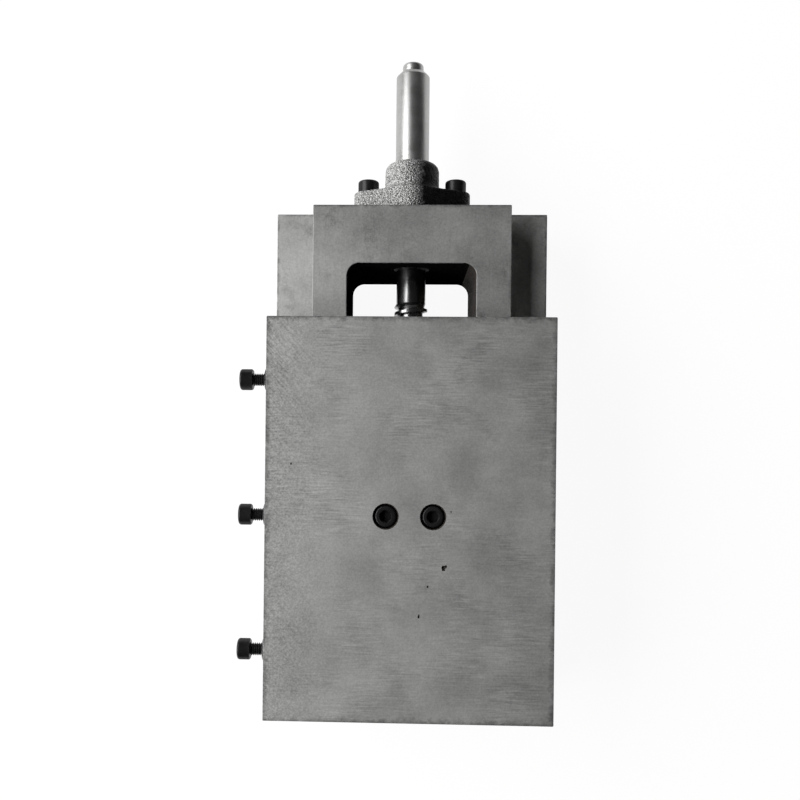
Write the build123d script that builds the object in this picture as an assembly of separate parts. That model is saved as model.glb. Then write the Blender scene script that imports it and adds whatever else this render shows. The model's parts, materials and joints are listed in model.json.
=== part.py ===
from build123d import *
import math
import os

# Hand-driven dovetail slide table: a base casting with a male dovetail rail and a through window,
# a slide with the female dovetail, a gib with three adjusting screws, and a trapezoidal lead screw
# that drives a nut hung under the slide.
# Frame: +Z up, +Y out along the drive shaft, +X across. x = 0 is the screw line, z = 0 the base's
# underside and y = 0 the middle of the drive-end wall, so the origin lies on the wall's foot.
# All sizes are in millimetres.

# The base and the slide are equally wide, and flush at the tail end
BODY_WIDTH = 130.0

# Base casting
BASE_LENGTH = 236.0
LEDGE_HEIGHT = 36.5
RAIL_HEIGHT = 17.0
RAIL_TOP_WIDTH = 93.0
DOVETAIL_ANGLE = 60.0
RAIL_EDGE_BREAK = 0.8
DRIVE_WALL = 27.0
TAIL_WALL = 27.0
WINDOW_WIDTH = 60.0
WINDOW_CORNER = 6.0
RELIEF_WIDTH = 2.0
RELIEF_DEPTH = 1.5
EDGE_BREAK = 0.5

# Slide table
SLIDE_LENGTH = 182.0
WEB_THICKNESS = 14.0
RAIL_TOP_GAP = 0.5

# Gib and its adjusting screws
GIB_THICKNESS = 8.5
GIB_BACK_GAP = 0.3
GIB_EDGE_GAP = 0.5
GIB_END_GAP = 1.0
GIB_SCREW_COUNT = 3
GIB_SCREW_INSET = 27.0
GIB_SCREW_LENGTH = 25.0
GIB_SPOT_DEPTH = 1.9
GIB_SPOT_CLEARANCE = 0.3

# Metric socket head cap screws and thin nuts, all of one thread size
SCREW_THREAD = 6.0
SCREW_HEAD_DIAMETER = 10.0
SCREW_HEAD_HEIGHT = 6.0
SCREW_SOCKET = 5.0
SCREW_SOCKET_DEPTH = 3.0
SCREW_POINT_BREAK = 0.7
SCREW_HEAD_BREAK = 0.6
CLEARANCE_HOLE = 6.6
LOCK_NUT_ACROSS_FLATS = 10.0
LOCK_NUT_HEIGHT = 3.6
LOCK_NUT_TURNS = (0.0, 18.0, 30.0)

# Lead screw, trapezoidal thread of 16 mm with a 4 mm lead, drawn at its crest diameter
SCREW_DEPTH_BELOW_RAIL = 18.0
THREAD_DIAMETER = 16.0
THREAD_ROOT_DIAMETER = 11.5
THREAD_START_GAP = 16.2
THREAD_END_GAP = 24.0
THREAD_BEVEL = 1.5
NECK_DIAMETER = 14.0
JOURNAL_DIAMETER = 17.0
RUN_OUT = 3.0
TAIL_JOURNAL_DIAMETER = 12.0
TAIL_JOURNAL_SINK = 1.0
SHAFT_DIAMETER = 16.0
SHAFT_SHOULDER = 68.2
SHAFT_TIP_DIAMETER = 10.0
SHAFT_CHAMFER = 2.2
SHAFT_TIP_LENGTH = 4.3
SHAFT_TIP_SHOULDER = 0.9
SHAFT_TIP_DOME = 1.6
COLLAR_DIAMETER = 25.0
COLLAR_WIDTH = 4.0

# Thrust roller bearings, one on each side of the collar, on the same journal as the bracket's bush
BEARING_OUTSIDE = 30.0
WASHER_THICKNESS = 2.75
ROLLER_DIAMETER = 3.5
ROLLER_LENGTH = 4.2
ROLLER_COUNT = 12
CAGE_THICKNESS = 2.2
CAGE_RIM = 0.6

# Bracket, bushes and lead nut
FLANGE_THICKNESS = 10.0
FLANGE_TIP_RADIUS = 7.0
FLANGE_BROW_RADIUS = 9.0
FLANGE_HALF_HEIGHT = 16.0
FLANGE_BREAK = 1.2
BRACKET_SCREW_SPACING = 42.0
BRACKET_SCREW_LENGTH = 25.0
BOSS_DIAMETER = 26.0
BOSS_REACH = 24.0
BOSS_ROUND = 4.0
BOSS_FILLET = 1.5
BRACKET_BUSH_OUTSIDE = 20.0
BOSS_LIP = 3.5
TAIL_BUSH_OUTSIDE = 18.0
LEAD_NUT_WIDTH = 38.0
LEAD_NUT_LENGTH = 30.0
LEAD_NUT_BELOW_SCREW = 13.0
LEAD_NUT_BREAK = 1.0
LEAD_NUT_OFFSET = 1.5
NUT_SCREW_SPACING = 21.2
NUT_SCREW_LENGTH = 20.0
NUT_SCREW_SINK = 6.8
COUNTERBORE_DIAMETER = 11.0

# Clearances
WAY_CLEARANCE = 0.03
RUNNING_CLEARANCE = 0.04
LIP_CLEARANCE = 0.1
SEAT_CLEARANCE = 0.02
HEAD_CLEARANCE = 0.1
THREAD_CLEARANCE = 0.05
TAP_EXTRA_DEPTH = 1.0
ROLLER_CLEARANCE = 0.02
CAGE_CLEARANCE = 0.1

# Heights
RAIL_TOP = LEDGE_HEIGHT + RAIL_HEIGHT
WEB_UNDERSIDE = RAIL_TOP + RAIL_TOP_GAP
TABLE_TOP = WEB_UNDERSIDE + WEB_THICKNESS
SCREW_LINE = RAIL_TOP - SCREW_DEPTH_BELOW_RAIL
GIB_SCREW_LINE = LEDGE_HEIGHT + RAIL_HEIGHT / 2

# Places along the screw
DRIVE_FACE = DRIVE_WALL / 2
TAIL_FACE = DRIVE_FACE - BASE_LENGTH
WINDOW_DRIVE_END = DRIVE_FACE - DRIVE_WALL
WINDOW_TAIL_END = TAIL_FACE + TAIL_WALL
SLIDE_DRIVE_END = TAIL_FACE + SLIDE_LENGTH
SLIDE_MIDDLE = (TAIL_FACE + SLIDE_DRIVE_END) / 2
LEAD_NUT_MIDDLE = SLIDE_MIDDLE + LEAD_NUT_OFFSET
THREAD_START = WINDOW_DRIVE_END - THREAD_START_GAP
THREAD_END = WINDOW_TAIL_END + THREAD_END_GAP
BEARING_HEIGHT = 2 * WASHER_THICKNESS + ROLLER_DIAMETER + 2 * ROLLER_CLEARANCE
BEARING_POCKET = DRIVE_FACE - 2 * BEARING_HEIGHT - COLLAR_WIDTH
OUTER_BEARING = DRIVE_FACE - BEARING_HEIGHT
BOSS_FACE = DRIVE_FACE + BOSS_REACH
SHAFT_END = DRIVE_FACE + SHAFT_SHOULDER + SHAFT_TIP_LENGTH

# Dovetail: half-width of the rail's flank at a height, and the gib's width measured level
FLANK_RUN = 1 / math.tan(math.radians(DOVETAIL_ANGLE))
LEVEL_SHARE = 1 / math.sin(math.radians(DOVETAIL_ANGLE))
RAIL_NECK = RAIL_TOP_WIDTH / 2 - RAIL_HEIGHT * FLANK_RUN
FLANK_CLEARANCE = WAY_CLEARANCE * LEVEL_SHARE
GIB_LEVEL = GIB_THICKNESS * LEVEL_SHARE
GIB_BACK = GIB_BACK_GAP * LEVEL_SHARE


def flank(height):
    """Half-width of the rail at a height."""
    return RAIL_NECK + (height - LEDGE_HEIGHT) * FLANK_RUN


def prism_along_y(outline, y_start, y_end):
    """Solid of an outline of (x, z) points, from y_start to y_end."""
    edge = Polyline(*[(x, y_start, z) for x, z in outline], close=True)
    return extrude(make_face(edge), amount=y_end - y_start, dir=(0, 1, 0))


def turned(outline):
    """Solid turned about the screw line from (radius, y) points."""
    edge = Polyline(*[(radius, y, SCREW_LINE) for radius, y in outline], close=True)
    return revolve(make_face(edge), axis=Axis((0, 0, SCREW_LINE), (0, 1, 0)))


def tube_along_y(outer_radius, inner_radius, y_start, y_end):
    """Ring about the screw line."""
    near = [(inner_radius, y_start), (outer_radius, y_start)]
    far = [(outer_radius, y_end), (inner_radius, y_end)]
    return turned(near + far)


def rod_along_y(radius, y_start, y_end, x=0.0, z=SCREW_LINE):
    """Round bar or drill along Y."""
    rod = Cylinder(radius, abs(y_end - y_start), align=(Align.CENTER, Align.CENTER, Align.MIN))
    return Pos(x, min(y_start, y_end), z) * Rot(-90, 0, 0) * rod


def drill_down(radius, x, y, z_top, depth):
    """Round cutter from z_top downwards."""
    cutter = Cylinder(radius, depth, align=(Align.CENTER, Align.CENTER, Align.MAX))
    return Pos(x, y, z_top) * cutter


def gib_screw_places():
    """Places of the gib screws along Y, from the drive end to the tail end."""
    first = SLIDE_DRIVE_END - GIB_SCREW_INSET
    pitch = (SLIDE_LENGTH - 2 * GIB_SCREW_INSET) / (GIB_SCREW_COUNT - 1)
    return [first - index * pitch for index in range(GIB_SCREW_COUNT)]


# Fasteners
def cap_screw(length):
    """Socket head cap screw: its seat at z = 0, the head above it and the shank below."""
    shank = SCREW_THREAD / 2
    head = SCREW_HEAD_DIAMETER / 2
    outline = [
        (0, -length),
        (shank - SCREW_POINT_BREAK, -length),
        (shank, SCREW_POINT_BREAK - length),
        (shank, 0),
        (head, 0),
        (head, SCREW_HEAD_HEIGHT - SCREW_HEAD_BREAK),
        (head - SCREW_HEAD_BREAK, SCREW_HEAD_HEIGHT),
        (0, SCREW_HEAD_HEIGHT),
    ]
    edge = Polyline(*[(radius, 0, z) for radius, z in outline], close=True)
    screw = revolve(make_face(edge), axis=Axis.Z)
    socket = extrude(RegularPolygon(SCREW_SOCKET / 2, 6, major_radius=False), amount=SCREW_SOCKET_DEPTH)
    return screw - Pos(0, 0, SCREW_HEAD_HEIGHT - SCREW_SOCKET_DEPTH) * socket


def thin_nut():
    """Hexagon nut standing on z = 0, with the corners of both ends turned away."""
    flats = LOCK_NUT_ACROSS_FLATS / 2
    corner = flats / math.cos(math.radians(30))
    drop = (corner - flats) * math.tan(math.radians(30))
    bore = SCREW_THREAD / 2 + THREAD_CLEARANCE
    outline = [
        (bore, 0),
        (flats, 0),
        (corner, drop),
        (corner, LOCK_NUT_HEIGHT - drop),
        (flats, LOCK_NUT_HEIGHT),
        (bore, LOCK_NUT_HEIGHT),
    ]
    edge = Polyline(*[(radius, 0, z) for radius, z in outline], close=True)
    blank = revolve(make_face(edge), axis=Axis.Z)
    prism = extrude(RegularPolygon(flats, 6, major_radius=False), amount=LOCK_NUT_HEIGHT)
    return blank & prism


# Base body
def base_casting():
    half = BODY_WIDTH / 2
    top = RAIL_TOP_WIDTH / 2
    edge_run = RAIL_EDGE_BREAK * FLANK_RUN
    right_side = [
        (half - EDGE_BREAK, 0),
        (half, EDGE_BREAK),
        (half, LEDGE_HEIGHT - EDGE_BREAK),
        (half - EDGE_BREAK, LEDGE_HEIGHT),
        (RAIL_NECK + RELIEF_WIDTH, LEDGE_HEIGHT),
        (RAIL_NECK + RELIEF_WIDTH, LEDGE_HEIGHT - RELIEF_DEPTH),
        (RAIL_NECK, LEDGE_HEIGHT - RELIEF_DEPTH),
        (RAIL_NECK, LEDGE_HEIGHT),
        (top - edge_run, RAIL_TOP - RAIL_EDGE_BREAK),
        (top - edge_run - RAIL_EDGE_BREAK, RAIL_TOP),
    ]
    left_side = [(-x, z) for x, z in reversed(right_side)]
    body = prism_along_y(right_side + left_side, TAIL_FACE, DRIVE_FACE)

    window_length = WINDOW_DRIVE_END - WINDOW_TAIL_END
    window = RectangleRounded(WINDOW_WIDTH, window_length, WINDOW_CORNER)
    window_middle = (WINDOW_DRIVE_END + WINDOW_TAIL_END) / 2
    body -= Pos(0, window_middle, 0) * extrude(window, amount=RAIL_TOP)

    # The bearing pocket opens in the drive face, and the screw's thread passes its floor.
    body -= rod_along_y(BEARING_OUTSIDE / 2 + SEAT_CLEARANCE, BEARING_POCKET, DRIVE_FACE)
    body -= rod_along_y(JOURNAL_DIAMETER / 2 + THREAD_CLEARANCE, WINDOW_DRIVE_END, BEARING_POCKET)
    body -= rod_along_y(TAIL_BUSH_OUTSIDE / 2 + SEAT_CLEARANCE, TAIL_FACE, WINDOW_TAIL_END)

    tap_depth = BRACKET_SCREW_LENGTH - FLANGE_THICKNESS + TAP_EXTRA_DEPTH
    tap_radius = SCREW_THREAD / 2 + THREAD_CLEARANCE
    for side in (-1, 1):
        place = side * BRACKET_SCREW_SPACING / 2
        body -= rod_along_y(tap_radius, DRIVE_FACE - tap_depth, DRIVE_FACE, x=place)
    return body


def quarter_arc(centre_radius, centre_y, radius):
    """Quarter circle of a turned outline, away from the centre, or towards it if the radius is negative."""
    half_turn = radius / math.sqrt(2)
    start = (centre_radius + radius, centre_y)
    middle = (centre_radius + half_turn, centre_y + half_turn)
    end = (centre_radius, centre_y + radius)
    return ThreePointArc(start, middle, end)


def shaft_bracket():
    """Cast bearing bracket: a diamond flange with brows above and below, and a round boss."""
    tips = [Pos(side * BRACKET_SCREW_SPACING / 2, 0) * Circle(FLANGE_TIP_RADIUS) for side in (-1, 1)]
    brow_offset = FLANGE_HALF_HEIGHT - FLANGE_BROW_RADIUS
    brows = [Pos(0, side * brow_offset) * Circle(FLANGE_BROW_RADIUS) for side in (-1, 1)]
    edges = [edge for circle in tips + brows for edge in circle.edges()]
    outline = make_hull(edges)
    flange = extrude(outline, amount=FLANGE_THICKNESS)
    flange = chamfer(flange.faces().sort_by(Axis.Z)[-1].outer_wire().edges(), FLANGE_BREAK)
    flange = Pos(0, DRIVE_FACE, SCREW_LINE) * Rot(-90, 0, 0) * flange

    boss = BOSS_DIAMETER / 2
    seat = DRIVE_FACE + FLANGE_THICKNESS
    fillet_foot = quarter_arc(boss + BOSS_FILLET, seat + BOSS_FILLET, -BOSS_FILLET)
    rounded_top = quarter_arc(boss - BOSS_ROUND, BOSS_FACE - BOSS_ROUND, BOSS_ROUND)
    rim = boss + BOSS_FILLET
    foot = Polyline((0, BOSS_FACE), (0, DRIVE_FACE), (rim, DRIVE_FACE), (rim, seat))
    wall = Line((boss, seat + BOSS_FILLET), (boss, BOSS_FACE - BOSS_ROUND))
    crown = Line((boss - BOSS_ROUND, BOSS_FACE), (0, BOSS_FACE))
    section = Pos(0, 0, SCREW_LINE) * make_face(foot + fillet_foot + wall + rounded_top + crown)
    body = flange + revolve(section, axis=Axis((0, 0, SCREW_LINE), (0, 1, 0)))
    body -= rod_along_y(BRACKET_BUSH_OUTSIDE / 2 + SEAT_CLEARANCE, DRIVE_FACE, BOSS_FACE - BOSS_LIP)
    body -= rod_along_y(JOURNAL_DIAMETER / 2 + LIP_CLEARANCE, DRIVE_FACE, BOSS_FACE)
    for side in (-1, 1):
        place = side * BRACKET_SCREW_SPACING / 2
        body -= rod_along_y(CLEARANCE_HOLE / 2, DRIVE_FACE, seat, x=place)
        body -= rod_along_y(SCREW_HEAD_DIAMETER / 2 + HEAD_CLEARANCE, seat, BOSS_FACE, x=place)
    return body


def bracket_bush():
    bore = JOURNAL_DIAMETER / 2 + RUNNING_CLEARANCE
    return tube_along_y(BRACKET_BUSH_OUTSIDE / 2, bore, DRIVE_FACE, BOSS_FACE - BOSS_LIP)


def tail_bush():
    bore = TAIL_JOURNAL_DIAMETER / 2 + RUNNING_CLEARANCE
    return tube_along_y(TAIL_BUSH_OUTSIDE / 2, bore, TAIL_FACE, WINDOW_TAIL_END)


def bracket_screw(side):
    place = Pos(side * BRACKET_SCREW_SPACING / 2, DRIVE_FACE + FLANGE_THICKNESS, SCREW_LINE)
    return place * Rot(-90, 0, 0) * cap_screw(BRACKET_SCREW_LENGTH)


# Thrust bearings
def bearing_washer(y_start, on_shaft):
    """Flat washer that seats on the shaft, or in the housing."""
    bore = JOURNAL_DIAMETER / 2 + SEAT_CLEARANCE
    outside = BEARING_OUTSIDE / 2
    if on_shaft:
        outside -= CAGE_RIM
    else:
        bore += CAGE_RIM
    return tube_along_y(outside, bore, y_start, y_start + WASHER_THICKNESS)


def roller_ring(middle, shape):
    """One copy of the shape for each roller, its own X axis turned outwards."""
    centre = Pos(0, middle, SCREW_LINE)
    turns = [360 * index / ROLLER_COUNT for index in range(ROLLER_COUNT)]
    pitch_radius = (JOURNAL_DIAMETER + BEARING_OUTSIDE) / 4
    return [centre * Rot(0, turn, 0) * Pos(pitch_radius, 0, 0) * shape for turn in turns]


def bearing_rollers(middle):
    roller = Rot(0, 90, 0) * Cylinder(ROLLER_DIAMETER / 2, ROLLER_LENGTH)
    return Compound(children=roller_ring(middle, roller))


def roller_cage(middle):
    bore = JOURNAL_DIAMETER / 2 + CAGE_RIM
    outside = BEARING_OUTSIDE / 2 - CAGE_RIM
    cage = tube_along_y(outside, bore, middle - CAGE_THICKNESS / 2, middle + CAGE_THICKNESS / 2)
    play = 2 * CAGE_CLEARANCE
    pocket = Box(ROLLER_LENGTH + play, CAGE_THICKNESS, ROLLER_DIAMETER + play)
    for cutter in roller_ring(middle, pocket):
        cage -= cutter
    return cage


def thrust_bearing(name, y_low, housing_first):
    """The four pieces of one thrust bearing that stands on y_low."""
    middle = y_low + BEARING_HEIGHT / 2
    far = y_low + BEARING_HEIGHT - WASHER_THICKNESS
    housing_start = y_low if housing_first else far
    shaft_start = far if housing_first else y_low
    return {
        f"{name}_housing_washer": bearing_washer(housing_start, False),
        f"{name}_shaft_washer": bearing_washer(shaft_start, True),
        f"{name}_bearing_rollers": bearing_rollers(middle),
        f"{name}_roller_cage": roller_cage(middle),
    }


# Screw body
def lead_screw():
    crest = THREAD_DIAMETER / 2
    root = THREAD_ROOT_DIAMETER / 2
    neck = NECK_DIAMETER / 2
    tail = TAIL_JOURNAL_DIAMETER / 2
    journal = JOURNAL_DIAMETER / 2
    collar = COLLAR_DIAMETER / 2
    shaft = SHAFT_DIAMETER / 2
    tip = SHAFT_TIP_DIAMETER / 2
    collar_start = BEARING_POCKET + BEARING_HEIGHT
    shoulder = DRIVE_FACE + SHAFT_SHOULDER
    tail_end = TAIL_FACE + TAIL_JOURNAL_SINK
    outline = [
        (0, tail_end),
        (tail - EDGE_BREAK, tail_end),
        (tail, tail_end + EDGE_BREAK),
        (tail, THREAD_END - RUN_OUT),
        (root, THREAD_END - RUN_OUT),
        (root, THREAD_END),
        (crest - THREAD_BEVEL, THREAD_END),
        (crest, THREAD_END + THREAD_BEVEL),
        (crest, THREAD_START - THREAD_BEVEL),
        (neck, THREAD_START),
        (neck, BEARING_POCKET),
        (journal, BEARING_POCKET),
        (journal, collar_start),
        (collar, collar_start),
        (collar, collar_start + COLLAR_WIDTH),
        (journal, collar_start + COLLAR_WIDTH),
        (journal, BOSS_FACE),
        (shaft, BOSS_FACE),
        (shaft, shoulder),
        (tip + SHAFT_TIP_SHOULDER, shoulder + SHAFT_CHAMFER),
        (tip, shoulder + SHAFT_CHAMFER),
        (tip, SHAFT_END - SHAFT_TIP_DOME),
        (tip - SHAFT_TIP_DOME, SHAFT_END),
        (0, SHAFT_END),
    ]
    return turned(outline)


# Slide body
def slide_table():
    half = BODY_WIDTH / 2
    foot = LEDGE_HEIGHT + WAY_CLEARANCE
    right_foot = flank(foot) + FLANK_CLEARANCE
    left_foot = flank(foot) + FLANK_CLEARANCE + GIB_LEVEL + GIB_BACK
    right_root = flank(WEB_UNDERSIDE) + FLANK_CLEARANCE
    left_root = flank(WEB_UNDERSIDE) + FLANK_CLEARANCE + GIB_LEVEL + GIB_BACK
    outline = [
        (right_foot, foot),
        (half - EDGE_BREAK, foot),
        (half, foot + EDGE_BREAK),
        (half, TABLE_TOP - EDGE_BREAK),
        (half - EDGE_BREAK, TABLE_TOP),
        (EDGE_BREAK - half, TABLE_TOP),
        (-half, TABLE_TOP - EDGE_BREAK),
        (-half, foot + EDGE_BREAK),
        (EDGE_BREAK - half, foot),
        (-left_foot, foot),
        (-left_root, WEB_UNDERSIDE),
        (-left_root, WEB_UNDERSIDE + RELIEF_DEPTH),
        (RELIEF_WIDTH - left_root, WEB_UNDERSIDE + RELIEF_DEPTH),
        (RELIEF_WIDTH - left_root, WEB_UNDERSIDE),
        (right_root - RELIEF_WIDTH, WEB_UNDERSIDE),
        (right_root - RELIEF_WIDTH, WEB_UNDERSIDE + RELIEF_DEPTH),
        (right_root, WEB_UNDERSIDE + RELIEF_DEPTH),
        (right_root, WEB_UNDERSIDE),
    ]
    body = prism_along_y(outline, TAIL_FACE, SLIDE_DRIVE_END)

    for side in (-1, 1):
        place = side * NUT_SCREW_SPACING / 2
        body -= drill_down(COUNTERBORE_DIAMETER / 2, place, LEAD_NUT_MIDDLE, TABLE_TOP, NUT_SCREW_SINK)
        body -= drill_down(CLEARANCE_HOLE / 2, place, LEAD_NUT_MIDDLE, TABLE_TOP, WEB_THICKNESS)

    from_top = (Align.CENTER, Align.CENTER, Align.MAX)
    tap = Cylinder(SCREW_THREAD / 2 + THREAD_CLEARANCE, half, align=from_top)
    for place in gib_screw_places():
        body -= Pos(-half, place, GIB_SCREW_LINE) * Rot(0, -90, 0) * tap
    return body


def gib_seat():
    """x of the flat spots in the gib's back, where the screws press."""
    return -(flank(GIB_SCREW_LINE) + FLANK_CLEARANCE + GIB_LEVEL - GIB_SPOT_DEPTH)


def gib():
    low = LEDGE_HEIGHT + GIB_EDGE_GAP
    high = WEB_UNDERSIDE - GIB_EDGE_GAP
    outline = [
        (-(flank(low) + FLANK_CLEARANCE), low),
        (-(flank(high) + FLANK_CLEARANCE), high),
        (-(flank(high) + FLANK_CLEARANCE + GIB_LEVEL), high),
        (-(flank(low) + FLANK_CLEARANCE + GIB_LEVEL), low),
    ]
    strip = prism_along_y(outline, TAIL_FACE + GIB_END_GAP, SLIDE_DRIVE_END - GIB_END_GAP)
    from_foot = (Align.CENTER, Align.CENTER, Align.MIN)
    spot = Cylinder(SCREW_THREAD / 2 + GIB_SPOT_CLEARANCE, BODY_WIDTH / 2, align=from_foot)
    for place in gib_screw_places():
        strip -= Pos(gib_seat(), place, GIB_SCREW_LINE) * Rot(0, -90, 0) * spot
    return strip


def gib_screw(place):
    seat = Pos(gib_seat() - GIB_SCREW_LENGTH, place, GIB_SCREW_LINE)
    return seat * Rot(0, -90, 0) * cap_screw(GIB_SCREW_LENGTH)


def gib_lock_nut(place, turn):
    seat = Pos(-BODY_WIDTH / 2, place, GIB_SCREW_LINE)
    return seat * Rot(0, -90, 0) * Rot(0, 0, turn) * thin_nut()


def lead_nut():
    bottom = SCREW_LINE - LEAD_NUT_BELOW_SCREW
    from_foot = (Align.CENTER, Align.CENTER, Align.MIN)
    block = Box(LEAD_NUT_WIDTH, LEAD_NUT_LENGTH, WEB_UNDERSIDE - bottom, align=from_foot)
    block = chamfer(block.edges().filter_by(Axis.Z), LEAD_NUT_BREAK)
    block = Pos(0, LEAD_NUT_MIDDLE, bottom) * block
    near = LEAD_NUT_MIDDLE - LEAD_NUT_LENGTH / 2
    block -= rod_along_y(THREAD_DIAMETER / 2 + THREAD_CLEARANCE, near, near + LEAD_NUT_LENGTH)
    tap_depth = NUT_SCREW_LENGTH - (WEB_THICKNESS - NUT_SCREW_SINK) + TAP_EXTRA_DEPTH
    tap_radius = SCREW_THREAD / 2 + THREAD_CLEARANCE
    for side in (-1, 1):
        place = side * NUT_SCREW_SPACING / 2
        block -= drill_down(tap_radius, place, LEAD_NUT_MIDDLE, WEB_UNDERSIDE, tap_depth)
    return block


def nut_screw(side):
    place = Pos(side * NUT_SCREW_SPACING / 2, LEAD_NUT_MIDDLE, TABLE_TOP - NUT_SCREW_SINK)
    return place * cap_screw(NUT_SCREW_LENGTH)


def all_parts():
    parts = {
        "base_casting": base_casting(),
        "shaft_bracket": shaft_bracket(),
        "bracket_bush": bracket_bush(),
        "tail_bush": tail_bush(),
        "bracket_screw_left": bracket_screw(-1),
        "bracket_screw_right": bracket_screw(1),
        "lead_screw": lead_screw(),
        "slide_table": slide_table(),
        "gib": gib(),
        "lead_nut": lead_nut(),
        "nut_screw_left": nut_screw(-1),
        "nut_screw_right": nut_screw(1),
    }
    parts.update(thrust_bearing("inner", BEARING_POCKET, True))
    parts.update(thrust_bearing("outer", OUTER_BEARING, False))
    for number, place in enumerate(gib_screw_places(), start=1):
        turn = LOCK_NUT_TURNS[(number - 1) % len(LOCK_NUT_TURNS)]
        parts[f"gib_screw_{number}"] = gib_screw(place)
        parts[f"gib_lock_nut_{number}"] = gib_lock_nut(place, turn)
    return parts


os.makedirs("parts", exist_ok=True)
for name, part in all_parts().items():
    part.label = name
    export_step(part, f"parts/{name}.step")
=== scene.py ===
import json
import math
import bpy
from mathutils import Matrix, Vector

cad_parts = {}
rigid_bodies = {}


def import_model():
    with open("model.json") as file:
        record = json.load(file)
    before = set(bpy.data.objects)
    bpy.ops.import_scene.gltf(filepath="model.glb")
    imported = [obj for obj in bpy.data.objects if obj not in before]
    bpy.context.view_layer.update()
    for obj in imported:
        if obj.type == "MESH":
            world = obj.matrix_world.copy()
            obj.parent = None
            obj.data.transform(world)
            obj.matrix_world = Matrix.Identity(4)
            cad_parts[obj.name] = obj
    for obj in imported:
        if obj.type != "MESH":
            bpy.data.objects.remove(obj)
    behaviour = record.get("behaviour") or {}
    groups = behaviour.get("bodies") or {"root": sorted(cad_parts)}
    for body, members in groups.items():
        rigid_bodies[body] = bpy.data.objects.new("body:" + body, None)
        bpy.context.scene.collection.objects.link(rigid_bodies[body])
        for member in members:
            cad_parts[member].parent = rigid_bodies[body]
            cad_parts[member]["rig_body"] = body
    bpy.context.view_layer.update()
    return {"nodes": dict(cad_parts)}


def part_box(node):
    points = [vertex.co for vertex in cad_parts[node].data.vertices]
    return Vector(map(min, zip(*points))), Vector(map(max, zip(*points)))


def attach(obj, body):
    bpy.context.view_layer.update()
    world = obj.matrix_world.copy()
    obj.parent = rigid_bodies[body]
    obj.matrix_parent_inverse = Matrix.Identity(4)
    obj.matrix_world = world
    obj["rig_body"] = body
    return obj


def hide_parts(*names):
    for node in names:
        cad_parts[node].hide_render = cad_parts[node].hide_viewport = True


bl_info = {
    "name": "Dovetail slide table",
    "version": (1, 0, 0),
    "blender": (4, 5, 0),
    "location": "View3D > Sidebar > Slide table",
    "description": "Models the visible pieces of a hand-driven dovetail slide table and lights them",
    "category": "Object",
}

import bmesh
import bpy
from bpy.props import FloatProperty, FloatVectorProperty, IntProperty, PointerProperty
from mathutils import Vector

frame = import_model()

MM = 0.001
FULL_TURN = 2 * math.pi
QUARTER_TURN = math.pi / 2
ALONG_Y = (-QUARTER_TURN, 0, 0)
TOWARDS_LEFT = (0, -QUARTER_TURN, 0)
WELD = 0.002 * MM
# How far a cutter reaches past the face that it cuts
PAST = MM
# Play on the radius, of screws in their bores and of rings in their seats
BORE_PLAY = 0.05 * MM
SEAT_PLAY = 0.02 * MM

BASE_LOW, BASE_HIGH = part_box("base_casting")
TABLE_LOW, TABLE_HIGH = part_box("slide_table")
GIB_LOW, GIB_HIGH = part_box("gib")
BRACKET_LOW, BRACKET_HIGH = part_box("shaft_bracket")
SCREW_LOW, SCREW_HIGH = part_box("lead_screw")
NUT_LOW, NUT_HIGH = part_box("lead_nut")
SCREW_LINE = (SCREW_LOW.z + SCREW_HIGH.z) / 2
POCKET_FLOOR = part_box("inner_housing_washer")[0].y
BRACKET_SCREWS = ("bracket_screw_left", "bracket_screw_right")
NUT_SCREWS = ("nut_screw_left", "nut_screw_right")
GIB_SCREWS = ("gib_screw_1", "gib_screw_2", "gib_screw_3")

# Pores in the table's face: centre and radius, in millimetres
CASTING_PORES = (
    (15.5, -152.8, 1.0),
    (16.5, -152.1, 0.6),
    (8.5, -161.1, 0.45),
    (4.6, -174.7, 0.5),
    (4.8, -173.9, 0.35),
    (-53.2, -106.9, 0.4),
    (18.6, -127.6, 0.3),
)


# Settings
def in_mm(name, description, millimetres):
    return FloatProperty(name=name, description=description, default=millimetres * MM, unit="LENGTH")


def in_degrees(name, description, degrees):
    return FloatProperty(name=name, description=description, default=math.radians(degrees), unit="ROTATION")


def in_colour(name, description, *colour):
    return FloatVectorProperty(name=name, description=description, subtype="COLOR", default=colour)


class BodySizes(bpy.types.PropertyGroup):
    """Sizes of the two castings and of the gib."""

    ledge_height: in_mm("Ledge height", "Height of the base's ledges", 36.5)
    rail_top_width: in_mm("Rail width", "Width of the rail's top", 93)
    dovetail_angle: in_degrees("Dovetail angle", "Angle of the flanks", 60)
    relief_width: in_mm("Relief width", "Width of the grooves in the corners", 2)
    relief_depth: in_mm("Relief depth", "Depth of the grooves in the corners", 1.5)
    window_width: in_mm("Window width", "Width of the through window", 60)
    window_corner: in_mm("Window corner", "Radius of the window's corners", 6)
    end_wall: in_mm("End wall", "Thickness of the walls at both ends", 27)
    web_thickness: in_mm("Web", "Thickness of the table above the rail", 14)
    way_clearance: in_mm("Way clearance", "Clearance in the dovetail", 0.03)
    gib_thickness: in_mm("Gib", "Thickness of the gib", 8.5)
    gib_back_gap: in_mm("Gib gap", "Gap behind the gib", 0.3)
    edge_break: in_mm("Edge break", "Rounding of the ground edges", 0.4)


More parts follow.
